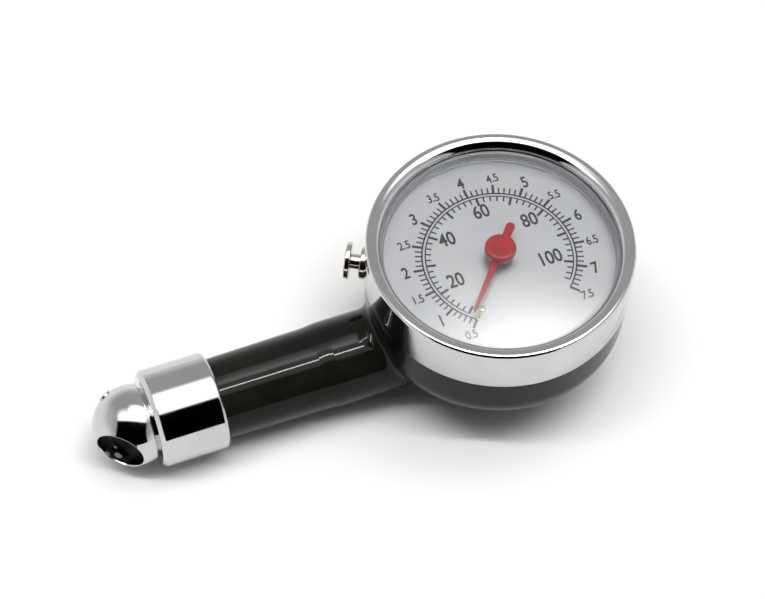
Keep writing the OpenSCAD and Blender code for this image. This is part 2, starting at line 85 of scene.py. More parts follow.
def facing(origin, axis):
    """Matrix that puts a part's local Z on an axis through origin."""
    turn = Vector(axis).to_track_quat("Z", "Y").to_matrix().to_4x4()
    return Matrix.Translation(Vector(origin)) @ turn


def along(node, origin, axis):
    """Where a node starts and ends along an axis through origin."""
    axis = Vector(axis).normalized()
    verts = frame["nodes"][node].data.vertices
    reach = [(v.co / MM - Vector(origin)).dot(axis) for v in verts]
    return min(reach), max(reach)


UP = facing((0, 0, 0), (0, 0, 1))
BEZEL_LOW, BEZEL_HIGH = box("bezel")
BEZEL_R = (BEZEL_HIGH.x - BEZEL_LOW.x) / 2
CREST_Z = BEZEL_HIGH.z
SKIRT_Z = BEZEL_LOW.z
RING_W = 2.85
DIAL_Z = box("dial_plate")[1].z
LENS_LOW, LENS_HIGH = box("lens")
LENS_R = (LENS_HIGH.x - LENS_LOW.x) / 2
FERRULE_LOW, FERRULE_HIGH = box("ferrule")
HANDLE_Z = middle("ferrule").z
FERRULE_R = (FERRULE_HIGH.y - FERRULE_LOW.y) / 2
HEAD_LOW, HEAD_HIGH = box("chuck_head")
BALL_R = (HEAD_HIGH.z - HEAD_LOW.z) / 2
BALL = Vector((HEAD_LOW.x + BALL_R, 0, HANDLE_Z))
INLET_AXIS = Vector(mount("valve_chuck")["axis"])
INLET_R = mount("valve_chuck")["dims"]["r_mm"]
BLEED_AXIS = -Vector(joint("bleed_press")["axis"])
BLEED = Vector((0, 0, middle("bleed_button").z))
HANDLE = Vector((0, 0, HANDLE_Z))
CHUCK_AXIS = Vector((-1, 0, 0))
TO_CHUCK = facing(HANDLE, CHUCK_AXIS)
ON_INLET = facing(BALL, INLET_AXIS)
ON_BLEED = facing(BLEED, BLEED_AXIS)

# The casting's outline, which no box of the frame gives: handle at its root, then the bowl's upright
# wall, its round shoulder, the slope of its back and the fillet to the handle
HANDLE_R = 8.3
WALL_R = BEZEL_R - 0.35
SHOULDER_Z = 16.5
SHOULDER_R = 8.0
BACK_SLOPE = math.radians(40)
FILLET_R = 1.8


# ---------------------------------------------------------------- mesh helpers

def rounded(corners):
    """Points of a closed outline. A corner is (r, z) or (r, z, radius of its rounding)."""
    points = []
    for i, corner in enumerate(corners):
        here = Vector(corner[:2])
        radius = corner[2] if len(corner) > 2 else 0
        if not radius:
            points.append(here)
            continue
        back = (Vector(corners[i - 1][:2]) - here).normalized()
        on = (Vector(corners[(i + 1) % len(corners)][:2]) - here).normalized()
        half = back.angle(on) / 2
        centre = here + (back + on).normalized() * (radius / math.sin(half))
        first = here + back * (radius / math.tan(half)) - centre
        turn = math.pi - 2 * half
        sign = 1 if back.x * on.y - back.y * on.x < 0 else -1
        steps = max(4, round(turn / math.radians(7)))
        for k in range(steps + 1):
            a = sign * turn * k / steps
            x = first.x * math.cos(a) - first.y * math.sin(a)
            y = first.x * math.sin(a) + first.y * math.cos(a)
            points.append(centre + Vector((x, y)))
    return points


def make_piece(name, bm, material, smooth_angle=30):
    """Turns a bmesh in millimetres into a named piece in metres."""
    bmesh.ops.recalc_face_normals(bm, faces=bm.faces)
    bmesh.ops.scale(bm, vec=(MM, MM, MM), verts=bm.verts)
    mesh = bpy.data.meshes.new(name)
    bm.to_mesh(mesh)
    bm.free()
    for polygon in mesh.polygons:
        polygon.use_smooth = True
    mesh.set_sharp_from_angle(angle=math.radians(smooth_angle))
    piece = bpy.data.objects.new(name, mesh)
    bpy.context.scene.collection.objects.link(piece)
    mesh.materials.append(material)
    return piece


def even_normals(piece):
    """Keeps flat faces flat beside their rounded edges."""
    modifier = piece.modifiers.new("even", "WEIGHTED_NORMAL")
    modifier.weight = 100
    modifier.keep_sharp = True


def lathe_bmesh(outline, place, segments=192):
    """A closed outline of (r, z) points, turned round place's Z axis."""
    bm = bmesh.new()
    rings = []
    for point in outline:
        if point[0] < 1e-4:
            rings.append([bm.verts.new(place @ Vector((0, 0, point[1])))])
            continue
        ring = []
        for k in range(segments):
            a = TURN * k / segments
            spot = Vector((point[0] * math.cos(a), point[0] * math.sin(a), point[1]))
            ring.append(bm.verts.new(place @ spot))
        rings.append(ring)
    for i, ring in enumerate(rings):
        after = rings[(i + 1) % len(rings)]
        if len(ring) == 1 and len(after) == 1:
            continue
        for k in range(segments):
            n = (k + 1) % segments
            corners = [ring[k % len(ring)], ring[n % len(ring)],
                       after[n % len(after)], after[k % len(after)]]
            bm.faces.new(list(dict.fromkeys(corners)))
    return bm


def lathe(name, corners, place, material, segments=192):
    piece = make_piece(name, lathe_bmesh(rounded(corners), place, segments), material)
    even_normals(piece)
    return piece


def combine(piece, other, operation):
    """Adds other to piece or cuts it away, and removes other."""
    modifier = piece.modifiers.new("combine", "BOOLEAN")
    modifier.operation = operation
    modifier.solver = "EXACT"
    modifier.object = other
    bpy.context.view_layer.update()
    result = bpy.data.meshes.new_from_object(piece.evaluated_get(bpy.context.evaluated_depsgraph_get()))
    piece.modifiers.remove(modifier)
    piece.data = result
    bpy.data.objects.remove(other)
    for polygon in result.polygons:
        polygon.use_smooth = True
    result.set_sharp_from_angle(angle=math.radians(30))


def prism_bmesh(bm, outline, low, high):
    """Adds an upright prism over a flat outline of (x, y) points."""
    bottom = [bm.verts.new((x, y, low)) for x, y in outline]
    top = [bm.verts.new((x, y, high)) for x, y in outline]
    bm.faces.new(list(reversed(bottom)))
    bm.faces.new(top)
    for i in range(len(outline)):
        n = (i + 1) % len(outline)
        bm.faces.new([bottom[i], bottom[n], top[n], top[i]])


def stand_for(piece, node, body="gauge"):
    """The piece takes a CAD node's place on a body."""
    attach(piece, body)
    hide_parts(node)
    return piece


# ---------------------------------------------------------------- materials

class Nodes:
    """A material's node tree with short calls for what the materials share."""

    def __init__(self, name, **values):
        self.material = bpy.data.materials.new(name)
        self.material.use_nodes = True
        self.tree = self.material.node_tree
        self.shader = self.tree.nodes["Principled BSDF"]
        for socket, value in values.items():
            self.shader.inputs[socket.replace("_", " ")].default_value = value
        self.place = self.tree.nodes.new("ShaderNodeTexCoord").outputs["Object"]

    def new(self, kind, **inputs):
        node = self.tree.nodes.new(kind)
        for socket, value in inputs.items():
            self.feed(node.inputs[socket.replace("_", " ")], value)
        return node

    def feed(self, socket, value):
        if isinstance(value, bpy.types.NodeSocket):
            self.tree.links.new(value, socket)
        else:
            socket.default_value = value

    def noise(self, size, detail=3.0, roughness=0.5, stretch=(1, 1, 1)):
        """Noise whose cells are about size millimetres across."""
        mapping = self.new("ShaderNodeMapping", Vector=self.place, Scale=stretch)
        node = self.new("ShaderNodeTexNoise", Vector=mapping.outputs[0], Scale=1 / (size * MM),
                        Detail=detail, Roughness=roughness)
        return node.outputs["Fac"]

    def between(self, factor, low, high, start=0.35, end=0.65):
        """Maps noise between start and end to a value between low and high."""
        node = self.new("ShaderNodeMapRange", Value=factor)
        node.inputs["From Min"].default_value = start
        node.inputs["From Max"].default_value = end
        node.inputs["To Min"].default_value = low
        node.inputs["To Max"].default_value = high
        return node.outputs[0]

    def blend(self, factor, first, second):
        """A colour between two colours."""
        node = self.tree.nodes.new("ShaderNodeMix")
        node.data_type = "RGBA"
        self.feed(node.inputs[0], factor)
        self.feed(node.inputs[6], first)
        self.feed(node.inputs[7], second)
        return node.outputs[2]

    def sum(self, first, second, operation="ADD"):
        node = self.tree.nodes.new("ShaderNodeMath")
        node.operation = operation
        self.feed(node.inputs[0], first)
        self.feed(node.inputs[1], second)
        return node.outputs[0]

    def bump(self, height, depth, strength=1.0):
        """Relief depth millimetres deep from a height of 0 to 1."""
        node = self.new("ShaderNodeBump", Height=height, Distance=depth * MM, Strength=strength)
        self.feed(self.shader.inputs["Normal"], node.outputs[0])

    def set(self, socket, value):
        self.feed(self.shader.inputs[socket], value)
        return self


def colour(r, g, b):
    return (r, g, b, 1.0)


def plated(name, clean, dull, rough=(0.03, 0.09), ripple=0.004, ripple_size=5):
    """Bright plating: soft ripples of the metal below, faint smears and fine pores."""
    n = Nodes(name, Metallic=1.0)
    smear = n.noise(7, 4, 0.6)
    n.set("Base Color", n.blend(n.between(smear, 0, 1), clean, dull))
    fine = n.noise(0.5, 2, 0.6)
    n.set("Roughness", n.sum(n.between(smear, rough[0], rough[1]), n.between(fine, -0.01, 0.015)))
    n.bump(n.noise(ripple_size, 2, 0.4), ripple)
    return n.material


def enamel(name, deep, light):
    """Glossy stoved paint on a casting: orange peel, faint dust and rubbed patches."""
    n = Nodes(name, Specular_IOR_Level=0.15)
    cloud = n.noise(9, 4, 0.6)
    n.set("Base Color", n.blend(n.between(cloud, 0, 1), deep, light))
    n.set("Roughness", n.between(n.noise(3, 4, 0.65), 0.03, 0.07))
    n.bump(n.sum(n.between(n.noise(1.6, 2, 0.5), 0, 1), n.between(n.noise(9, 1), 0, 2)), 0.0015)
    return n.material


def turned(name, base, worn, rough=(0.22, 0.38), stretch=(1, 1, 14)):
    """Machined metal with tool lines."""
    n = Nodes(name, Metallic=1.0)
    lines = n.noise(1.2, 4, 0.6, stretch)
    n.set("Base Color", n.blend(n.between(n.noise(3, 3), 0, 1), base, worn))
    n.set("Roughness", n.between(lines, *rough))
    n.bump(lines, 0.006)
    return n.material


def moulded(name, base, other, rough=(0.4, 0.55), grain=0.3, depth=0.008, **values):
    """Plastic or rubber with a fine grain."""
    n = Nodes(name, **values)
    n.set("Base Color", n.blend(n.between(n.noise(4, 4), 0, 1), base, other))
    n.set("Roughness", n.between(n.noise(1.5, 3), *rough))
    n.bump(n.noise(grain, 2, 0.6), depth)
    return n.material


def clear_plastic(name):
    """Moulded acrylic with faint handling marks; lamps shine through it."""
    n = Nodes(name, Transmission_Weight=1.0, IOR=1.49)
    marks = n.noise(2.5, 5, 0.7, (1, 6, 1))
    cloud = n.between(n.noise(12, 3), 0, 1)
    n.set("Base Color", n.blend(cloud, colour(0.98, 0.985, 0.99), colour(0.95, 0.96, 0.97)))
    n.set("Roughness", n.between(marks, 0.0, 0.035, 0.45, 0.75))
    path = n.tree.nodes.new("ShaderNodeLightPath")
    clear = n.tree.nodes.new("ShaderNodeBsdfTransparent")
    clear.inputs["Color"].default_value = colour(0.93, 0.94, 0.95)
    mix = n.tree.nodes.new("ShaderNodeMixShader")
    out = n.tree.nodes["Material Output"]
    n.tree.links.new(path.outputs["Is Shadow Ray"], mix.inputs[0])
    n.tree.links.new(n.shader.outputs[0], mix.inputs[1])
    n.tree.links.new(clear.outputs[0], mix.inputs[2])
    n.tree.links.new(mix.outputs[0], out.inputs["Surface"])
    return n.material


def satin_dial(name):
    """Silvered dial: a fine, even sparkle and a faint drift of tone."""
    n = Nodes(name, Metallic=0.9)
    drift = n.noise(14, 3, 0.5)
    spark = n.noise(0.12, 2, 0.7)
    tone = n.blend(n.between(drift, 0, 1), colour(0.33, 0.332, 0.336), colour(0.355, 0.357, 0.361))
    n.set("Base Color", n.blend(n.between(spark, 0, 0.25), tone, colour(0.44, 0.44, 0.446)))
    n.set("Roughness", n.between(spark, 0.3, 0.4))
    n.bump(spark, 0.0003)
    return n.material


def ink(name, dark, light):
    n = Nodes(name, Specular_IOR_Level=0.2)
    n.set("Base Color", n.blend(n.between(n.noise(0.6, 3), 0, 1), dark, light))
    n.set("Roughness", n.between(n.noise(0.3, 2), 0.45, 0.7))
    n.bump(n.noise(0.15, 2), 0.002)
    return n.material


CHROME = plated("chrome_plate", colour(0.57, 0.58, 0.595), colour(0.53, 0.54, 0.55))
NICKEL = plated("nickel_plate", colour(0.66, 0.62, 0.56), colour(0.58, 0.54, 0.47), (0.06, 0.16), 0.002, 2)
BLACK = enamel("black_enamel", colour(0.0045, 0.0050, 0.0038), colour(0.0080, 0.0088, 0.0068))
LENS = clear_plastic("clear_acrylic")
DIAL = satin_dial("dial_silver")
INK = ink("dial_ink", colour(0.004, 0.004, 0.005), colour(0.010, 0.010, 0.012))
RED = moulded("pointer_red", colour(0.155, 0.002, 0.004), colour(0.13, 0.0016, 0.0035),
              (0.12, 0.2), 0.6, 0.003, Specular_IOR_Level=0.4)
RUBBER = moulded("black_rubber", colour(0.004, 0.004, 0.004), colour(0.009, 0.0085, 0.008),
                 (0.35, 0.55), Specular_IOR_Level=0.3)
GREY = moulded("grey_plastic", colour(0.13, 0.13, 0.138), colour(0.11, 0.11, 0.117),
               (0.3, 0.45), 0.4, 0.004)
BRASS = turned("turned_brass", colour(0.78, 0.60, 0.28), colour(0.66, 0.48, 0.20))
BRONZE = turned("dull_bronze", colour(0.68, 0.45, 0.22), colour(0.55, 0.35, 0.17), (0.35, 0.5))
STEEL = turned("turned_steel", colour(0.60, 0.60, 0.62), colour(0.48, 0.48, 0.50))
WIRE = turned("spring_wire", colour(0.50, 0.50, 0.53), colour(0.38, 0.38, 0.41), (0.2, 0.35))

SLOT_MATERIALS = {
    "black_paint": BLACK, "chrome": CHROME, "nickel": NICKEL, "clear_lens": LENS, "black_rubber": RUBBER,
    "grey_plastic": GREY, "dial_silver": DIAL, "pointer_red": RED, "brass": BRASS, "bronze": BRONZE,
    "steel": STEEL, "spring_steel": WIRE,
}


def paint_cad_nodes():
    """Every CAD node takes the full material of its slot."""
    for part in frame["record"]["subparts"]:
        mesh = frame["nodes"][part["node"]].data
        mesh.materials.clear()
        mesh.materials.append(SLOT_MATERIALS[part["material_slot"]])
        for polygon in mesh.polygons:
            polygon.use_smooth = True
        mesh.set_sharp_from_angle(angle=math.radians(25))


# ---------------------------------------------------------------- pieces of the head

def make_bezel():
    """Pressed ring: skirt, tight outer corner, full inner flank and the lip that holds the lens."""
    sheet, corner_r, flank_r = 0.5, 0.7, 2.0
    inner_r = BEZEL_R - RING_W
    corner = Vector((BEZEL_R - corner_r, CREST_Z - corner_r))
    flank = Vector((inner_r + flank_r * math.sin(math.radians(70)), CREST_Z - flank_r))
    lip_z = CREST_Z - 1.575
    burr = 0.06

    def arc(centre, radius, start, end, steps):
        angles = [math.radians(start + (end - start) * k / steps) for k in range(steps + 1)]
        return [centre + radius * Vector((math.cos(a), math.sin(a))) for a in angles]

    outline = [Vector((BEZEL_R - sheet, SKIRT_Z + 0.15)), Vector((BEZEL_R - sheet + 0.12, SKIRT_Z + 0.02)),
               Vector((BEZEL_R - 0.16, SKIRT_Z)), Vector((BEZEL_R - 0.05, SKIRT_Z + 0.05)),
               Vector((BEZEL_R, SKIRT_Z + 0.18))]
    outline += arc(corner, corner_r, 0, 90, 20) + arc(flank, flank_r, 92, 160, 30)
    outline += [Vector((inner_r, flank.y + 0.55)), Vector((inner_r, lip_z + burr)),
                Vector((inner_r + burr, lip_z)), Vector((inner_r + sheet - burr, lip_z)),
                Vector((inner_r + sheet, lip_z + burr))]
    outline += arc(flank, flank_r - sheet, 155, 92, 16) + arc(corner, corner_r - sheet, 90, 0, 8)
    piece = make_piece("bezel_ring", lathe_bmesh(outline, UP, 256), CHROME, 60)
    stand_for(piece, "bezel")


def make_lens():
    """Domed crown with a flat rim."""
    thickness = 1.4
    dome_r = 21.7
    rim_top = LENS_LOW.z + thickness
    rise = LENS_HIGH.z - rim_top
    sphere_r = (dome_r ** 2 + rise ** 2) / (2 * rise)
    centre_z = LENS_HIGH.z - sphere_r
    outline = [Vector((LENS_R - 0.1, LENS_LOW.z)), Vector((LENS_R, LENS_LOW.z + 0.1)),
               Vector((LENS_R, rim_top - 0.1)), Vector((LENS_R - 0.1, rim_top))]
    steps = 36

    def dome(radius, reach, start, end):
        for k in range(steps + 1):
            r = reach * (start + (end - start) * k / steps)
            outline.append(Vector((r, centre_z + math.sqrt(radius ** 2 - r ** 2))))

    dome(sphere_r, dome_r, 1, 0)
    under_r = math.sqrt((sphere_r - thickness) ** 2 - (LENS_LOW.z - centre_z) ** 2)
    dome(sphere_r - thickness, under_r, 0, 1)
    piece = make_piece("lens_crown", lathe_bmesh(outline, UP, 256), LENS, 40)
    stand_for(piece, "lens")


def make_spacer():
    """Ring between dial and lens, with a stepped foot that shows as a lighter line."""
    low, high = box("spacer_ring")
    outer = (high.x - low.x) / 2
    inner = outer - 0.65
    piece = lathe("spacer_band", [(outer, low.z, 0.05), (outer, high.z, 0.05), (inner, high.z, 0.15),
                                  (inner, low.z + 0.35, 0.1), (inner - 0.25, low.z + 0.3, 0.1),
                                  (inner - 0.3, low.z, 0.05)], UP, GREY, 256)
    stand_for(piece, "spacer_ring")


def arc_band(bm, radius, width, start, end, low, high):
    """A thin printed arc from start to end, in degrees."""
    steps = max(2, round(abs(end - start) / 2))
    angles = [math.radians(start + (end - start) * k / steps) for k in range(steps + 1)]
    inner = [((radius - width / 2) * math.cos(a), (radius - width / 2) * math.sin(a)) for a in angles]
    outer = [((radius + width / 2) * math.cos(a), (radius + width / 2) * math.sin(a)) for a in angles]
    prism_bmesh(bm, inner + outer[::-1], low, high)


def tick(bm, degrees, start, end, width, low, high):
    """One printed line across a scale, from radius start to radius end."""
    a = math.radians(degrees)
    out, across = Vector((math.cos(a), math.sin(a))), Vector((-math.sin(a), math.cos(a))) * width / 2
    corners = [out * start - across, out * end - across, out * end + across, out * start + across]
    prism_bmesh(bm, [tuple(c) for c in reversed(corners)], low, high)


# Thickness of the print, then the angle of each scale's first number and its degrees per unit
INK_T = 0.02
OUTER_ZERO, OUTER_STEP = -129.0, 39.7
INNER_TEN, INNER_STEP = -136.4, 2.75


def outer_angle(value):
    """Angle of a value on the outer scale, which runs clockwise from 0.5 to 7.5."""
    return OUTER_ZERO - (value - 0.5) * OUTER_STEP


def inner_angle(value):
    """Angle of a value on the inner scale, which runs clockwise from 10 to 106."""
    return INNER_TEN - (value - 10) * INNER_STEP


def make_scales():
    """Two printed arcs with their ticks, the outer ones pointing out and the inner ones in."""
    bm = bmesh.new()
    low, high = DIAL_Z, DIAL_Z + INK_T
    over = high + 0.002
    outer_arc, outer_foot = 14.3, 14.35
    inner_arc, inner_foot = 13.68, 13.7
    arc_band(bm, outer_arc, 0.3, outer_angle(0.5), outer_angle(7.5), low, high)
    arc_band(bm, inner_arc, 0.24, inner_angle(10), inner_angle(106), low, high)
    for tenth in range(5, 76):
        end, width = (16.25, 0.5) if tenth % 5 == 0 else (15.6, 0.3)
        tick(bm, outer_angle(tenth / 10), outer_foot, end, width, low, over)
    for value in range(10, 107, 2):
        start, width = (11.9, 0.48) if value % 10 == 0 else (12.6, 0.3)
        tick(bm, inner_angle(value), start, inner_foot, width, low, over)
    piece = make_piece("dial_scales", bm, INK)
    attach(piece, "gauge")


def number_mesh(text, size, width, weight):
    """A number's outline as a thin mesh, centred on its own middle."""
    curve = bpy.data.curves.new("number", "FONT")
    curve.body = text
    curve.size = size
    curve.align_x, curve.align_y = "CENTER", "CENTER"
    curve.extrude = INK_T / 2
    curve.offset = weight
    holder = bpy.data.objects.new("number", curve)
    bpy.context.scene.collection.objects.link(holder)
    bpy.context.view_layer.update()
    mesh = bpy.data.meshes.new_from_object(holder.evaluated_get(bpy.context.evaluated_depsgraph_get()))
    bpy.data.objects.remove(holder)
    xs = [v.co.x for v in mesh.vertices]
    ys = [v.co.y for v in mesh.vertices]
    mesh.transform(Matrix.Diagonal((width, 1, 1, 1)) @ Matrix.Translation(
        (-(min(xs) + max(xs)) / 2, -(min(ys) + max(ys)) / 2, 0)))
    return mesh


def make_numbers():
    """Numbers of both scales; the inner ones stand a little above their circle."""
    outer_r, inner_r, inner_lift = 17.75, 9.85, 0.85
    narrowing = 0.78
    labels = []
    for half in range(1, 16):
        size, weight = (3.4, 0.07) if half % 2 == 0 else (2.5, 0.045)
        labels.append((f"{half / 2:g}", outer_angle(half / 2), outer_r, 0, size, weight))
    for value in range(20, 101, 20):
        labels.append((str(value), inner_angle(value), inner_r, inner_lift, 4.05, 0.075))
    bm = bmesh.new()
    for text, degrees, radius, lift, size, weight in labels:
        a = math.radians(degrees)
        mesh = number_mesh(text, size, narrowing, weight)
        spot = (radius * math.cos(a), radius * math.sin(a) + lift, DIAL_Z + INK_T / 2)
        mesh.transform(Matrix.Translation(spot))
        bm.from_mesh(mesh)
        bpy.data.meshes.remove(mesh)
    piece = make_piece("dial_numbers", bm, INK)
    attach(piece, "gauge")


# ---------------------------------------------------------------- pointer

def make_pointer():
    """Red pointer: a domed boss with a dimple, a tapered blade and a round tail."""
    low, high = box("pointer")
    rest = math.radians(-131.5)
    boss_r = 2.9
    dimple_z = high.z - 0.1
    boss = rounded([(0, low.z), (boss_r, low.z, 0.12), (boss_r, high.z, 0.5), (0.62, high.z, 0.08),
                    (0.5, dimple_z, 0.05), (0, dimple_z)])
    piece = make_piece("pointer_needle", lathe_bmesh(boss, UP, 128), RED)
    blade_t = 0.5
    reach, tail, tail_r = 14.3, 5.7, 0.85
    edge = [(reach - 0.25, 0.2), (reach - 1.2, 0.36), (2.0, 0.64)]
    outline = [(reach, 0)] + edge
    steps = 24
    for k in range(steps + 1):
        a = math.pi / 2 + math.pi * k / steps
        outline.append((-tail + tail_r * math.cos(a), tail_r * math.sin(a)))
    outline += [(x, -y) for x, y in reversed(edge)]
    bm = bmesh.new()
    prism_bmesh(bm, outline, low.z, low.z + blade_t)
    bmesh.ops.rotate(bm, verts=bm.verts, matrix=Matrix.Rotation(rest, 3, "Z"))
    sharp = [e for e in bm.edges if abs(e.verts[0].co.z - e.verts[1].co.z) < 1e-6]
    bmesh.ops.bevel(bm, geom=sharp, offset=0.09, segments=3, affect="EDGES")
    blade = make_piece("pointer_blade", bm, RED)
    combine(piece, blade, "UNION")
    even_normals(piece)
    stand_for(piece, "pointer", "pointer")


def make_stop_pin():
    """Pin that the pointer rests against: a thin foot in the dial and a round head."""
    low, high = box("stop_pin")
    at = middle("stop_pin")
    radius, foot_r = (high.x - low.x) / 2, 0.44
    place = facing((at.x, at.y, 0), (0, 0, 1))
    piece = lathe("stop_post", [(0, low.z), (foot_r, low.z, 0.05), (foot_r, DIAL_Z, 0.01),
                                (radius, DIAL_Z, 0.05), (radius, high.z, 0.3), (0, high.z)],
                  place, NICKEL, 48)
    stand_for(piece, "stop_pin")


# ---------------------------------------------------------------- body, ferrule and chuck

def nearest_on_bowl(r, z):
    """Nearest point of the bowl's outline: upright wall, round shoulder, then the cone of the back."""
    centre = Vector((WALL_R - SHOULDER_R, SHOULDER_Z))
    point = Vector((r, z))
    if z >= SHOULDER_Z:
        return Vector((WALL_R, z))
    cone = Vector((math.sin(BACK_SLOPE), -math.cos(BACK_SLOPE)))
    out = (point - centre).normalized()
    if out.x < cone.x:
        return point - cone * ((point - centre).dot(cone) - SHOULDER_R)
    return centre + out * SHOULDER_R


def make_handle_fillet():
    """Cast fillet between handle and bowl: the path of a ball that touches both."""
    steps, arc_steps, halvings = 240, 10, 40
    sunk = 0.3
    bm = bmesh.new()
    rings = []
    for k in range(steps):
        a = TURN * k / steps
        radial = Vector((0, math.sin(a), math.cos(a)))
        centre = radial * (HANDLE_R + FILLET_R) + HANDLE
        near, far = -5.0, -60.0
        for _ in range(halvings):
            centre.x = (near + far) / 2
            r = centre.xy.length
            touch = nearest_on_bowl(r, centre.z)
            if (Vector((r, centre.z)) - touch).length < FILLET_R or r < touch.x:
                near = centre.x
            else:
                far = centre.x
        flat = centre.xy * (touch.x / centre.xy.length)
        to_bowl = (Vector((flat.x, flat.y, touch.y)) - centre).normalized()
        middle_way = (to_bowl - radial).normalized()
        depth = FILLET_R / middle_way.dot(to_bowl) + sunk
        swing = (-radial).rotation_difference(to_bowl)
        ring = []
        for i in range(arc_steps + 1):
            turned = Quaternion(swing.axis, swing.angle * i / arc_steps) @ -radial
            ring.append(bm.verts.new(centre + turned * FILLET_R))
        ring.append(bm.verts.new(centre + middle_way * depth))
        rings.append(ring)
    count = arc_steps + 2
    for ring, after in zip(rings, rings[1:] + rings[:1]):
        for i in range(count):
            n = (i + 1) % count
            bm.faces.new([ring[i], ring[n], after[n], after[i]])
    piece = make_piece("handle_fillet", bm, BLACK)
    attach(piece, "gauge")


def make_ferrule():
    """Chromed sleeve nut: rounded rear edge, bright front chamfer and a lip round the ball."""
    start, end = -FERRULE_HIGH.x, -FERRULE_LOW.x
    r, chamfer = FERRULE_R, 0.85
    mouth_r, bore_r, lip_r = 7.8, 6.95, 6.25
    mouth_end, lip_start = start + 1.9, 66.6
    piece = lathe("ferrule_sleeve", [
        (mouth_r, start, 0.1), (r, start, 0.75), (r, end - 0.8, 0.22), (r - chamfer, end, 0.22),
        (lip_r, end, 0.12), (lip_r, lip_start), (bore_r, lip_start), (bore_r, mouth_end),
        (mouth_r, mouth_end)], TO_CHUCK, CHROME, 256)
    stand_for(piece, "ferrule")


def make_chuck():
    """Ball with its slanted inlet, on a grooved neck."""
    mouth = math.sqrt(BALL_R ** 2 - INLET_R ** 2)
    rim_r, groove_r = INLET_R + 0.28, INLET_R + 0.2
    groove_top, groove_floor = 2.9, 0.6
    filter_r, filter_z = 2.3, -0.3
    air_r, air_z = 1.0, -2
    outline = [Vector((0, -BALL_R))]
    edge = math.asin(rim_r / BALL_R)
    steps = 90
    for k in range(1, steps + 1):
        a = math.pi - (math.pi - edge) * k / steps
        outline.append(Vector((BALL_R * math.sin(a), BALL_R * math.cos(a))))
    outline += rounded([
        (rim_r, BALL_R * math.cos(edge)), (INLET_R + 0.12, mouth - 0.02, 0.1), (INLET_R, mouth - 0.35, 0.1),
        (INLET_R, groove_top), (groove_r, groove_top), (groove_r, groove_floor), (filter_r, groove_floor),
        (filter_r, filter_z), (air_r, filter_z), (air_r, air_z), (0, air_z)])[1:]
    ball = make_piece("chuck_ball", lathe_bmesh(outline, ON_INLET, 256), CHROME)
    back = -BALL.x
    cut, clear = back - 2.1, 20
    cutter_outline = [Vector((0, cut)), Vector((clear, cut)), Vector((clear, back - clear)),
                      Vector((0, back - clear))]
    cutter = make_piece("cutter", lathe_bmesh(cutter_outline, TO_CHUCK, 64), CHROME)
    combine(ball, cutter, "DIFFERENCE")
    collar_r, neck_r, flange_r, bore_r = 7.42, 6.2, 6.85, 1.4
    top, groove, bore_end, flange_z, foot_z = back - 0.6, back - 2.3, back - 1.6, 66.55, 65.3
    neck_outline = rounded([
        (0, top), (collar_r, top), (collar_r, groove, 0.22), (neck_r, groove, 0.1), (neck_r, flange_z),
        (flange_r, flange_z), (flange_r, foot_z), (bore_r, foot_z), (bore_r, bore_end), (0, bore_end)])
    neck = make_piece("neck", lathe_bmesh(neck_outline, TO_CHUCK, 256), CHROME)
    combine(ball, neck, "UNION")
    even_normals(ball)
    stand_for(ball, "chuck_head")


def make_seal():
    """Rubber washer with a rounded funnel lip."""
    low, high = along("chuck_seal", BALL, INLET_AXIS)
    r, bore_r = INLET_R + 0.17, 1.75
    lip_r, funnel_r = 4.0, 3.3
    piece = lathe("inlet_seal", [(bore_r, low, 0.1), (r, low, 0.1), (r, high, 0.1), (lip_r, high, 0.35),
                                 (funnel_r, high - 0.45, 0.3), (bore_r, high - 1.0, 0.2)],
                  ON_INLET, RUBBER, 128)
    stand_for(piece, "chuck_seal")


def make_depressor():
    """Pin with a flat foot that opens a tyre valve's core."""
    low, high = along("depressor_pin", BALL, INLET_AXIS)
    foot_r, pin_r, foot_top = 2.25, 0.85, low + 0.8
    piece = lathe("core_pin", [(0, low), (foot_r, low, 0.1), (foot_r, foot_top, 0.12),
                               (pin_r, foot_top, 0.1), (pin_r, high, 0.35), (0, high)],
                  ON_INLET, NICKEL, 96)
    stand_for(piece, "depressor_pin")


def make_plug():
    """Small plug in the ball, with a round socket in its head."""
    at = middle("chuck_plug")
    axis = (at - BALL).normalized()
    low, high = along("chuck_plug", BALL, axis)
    shank_r, head_r, socket_r = 0.93, 1.3, 0.42
    under, socket_z = BALL_R - 0.2, high - 0.25
    piece = lathe("cross_plug", [
        (0, low), (shank_r, low, 0.1), (shank_r, under), (head_r, under), (head_r, high, 0.28),
        (0.55, high, 0.1), (socket_r, socket_z, 0.05), (0, socket_z)], facing(BALL, axis), CHROME, 64)
    stand_for(piece, "chuck_plug")


def make_bleed_valve():
    """Push button and the bush that it slides in."""
    low, high = along("bleed_button", BLEED, BLEED_AXIS)
    disc_r, stem_r = 3.55, 1.45
    under, dish_z = high - 1.0, high - 0.12
    button = lathe("bleed_push_button", [
        (0, low), (stem_r, low, 0.1), (stem_r, under, 0.15), (disc_r, under, 0.22), (disc_r, high, 0.3),
        (2.6, high, 0.15), (2.4, dish_z, 0.15), (0, dish_z)], ON_BLEED, NICKEL, 96)
    stand_for(button, "bleed_button", "bleed_button")
    low, high = along("bleed_bush", BLEED, BLEED_AXIS)
    bore, shank_r, body_r, flange_r = stem_r + 0.05, 2.09, 2.45, 3.1
    body_start, flange_start = 19.6, high - 1.05
    bush = lathe("bleed_valve_bush", [
        (bore, low), (shank_r, low), (shank_r, body_start), (body_r, body_start),
        (body_r, flange_start, 0.05), (flange_r, flange_start, 0.12), (flange_r, high, 0.22),
        (bore, high, 0.12)], ON_BLEED, NICKEL, 96)
    stand_for(bush, "bleed_bush")


# ---------------------------------------------------------------- springs and the Bourdon tube

